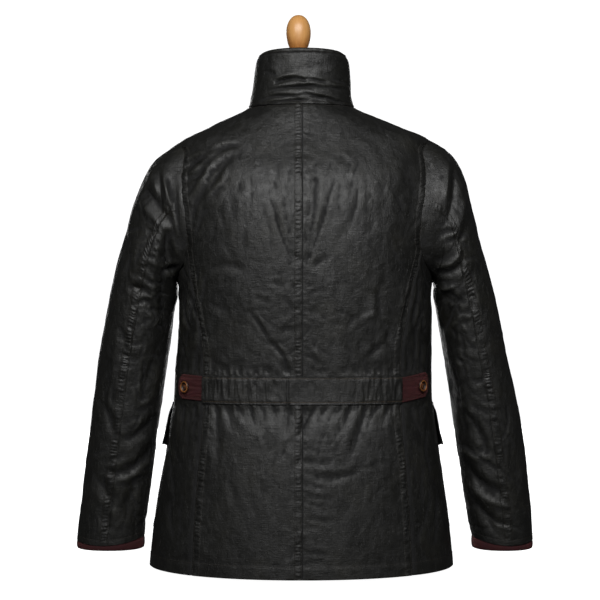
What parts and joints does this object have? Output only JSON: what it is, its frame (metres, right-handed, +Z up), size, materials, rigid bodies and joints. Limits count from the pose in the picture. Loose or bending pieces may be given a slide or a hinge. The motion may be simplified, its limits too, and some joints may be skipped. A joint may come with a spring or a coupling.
{
  "type": "waxed cotton jacket on a limbless dress form",
  "caption": "Hip-length waxed cotton jacket with stand collar, ruched back waist band, needlecord cuffs and tabs, worn by a limbless dress form with a wooden knob.",
  "frame": {"origin": "middle of the whole box at the level that the form's base rests on", "axes": "+Z up, -Y the way the wearer faces, +Y the back of the jacket, +X the wearer's left"},
  "size_m": [0.7605, 0.3049, 0.913],
  "materials": {
    "waxed_cotton": "black waxed cotton, satin, finely creased",
    "needlecord": "dark burgundy fine-wale needlecord, matt pile",
    "horn": "dark horn-look button with an amber rim, polished",
    "brass": "aged brass press stud, satin",
    "jersey": "black jersey stretched smooth over the form",
    "beech": "varnished beech, satin"
  },
  "bodies": {
    "root": {"back_left": "waxed_cotton", "side_left": "waxed_cotton", "front_left": "waxed_cotton", "sleeve_upper_left": "waxed_cotton", "sleeve_under_left": "waxed_cotton", "pocket_left": "waxed_cotton", "pocket_flap_left": "waxed_cotton", "cuff_left": "needlecord", "tab_left": "needlecord", "tab_button_left": "horn", "pocket_stud_left": "brass", "back_right": "waxed_cotton", "side_right": "waxed_cotton", "front_right": "waxed_cotton", "sleeve_upper_right": "waxed_cotton", "sleeve_under_right": "waxed_cotton", "pocket_right": "waxed_cotton", "pocket_flap_right": "waxed_cotton", "cuff_right": "needlecord", "tab_right": "needlecord", "tab_button_right": "horn", "pocket_stud_right": "brass", "collar": "waxed_cotton", "waist_band": "waxed_cotton", "front_fly": "waxed_cotton", "fly_stud_1": "brass", "fly_stud_2": "brass", "fly_stud_3": "brass", "fly_stud_4": "brass", "fly_stud_5": "brass", "form_body": "jersey", "form_neck_cap": "beech", "form_knob": "beech", "form_base": "beech"}
  },
  "joints": []
}
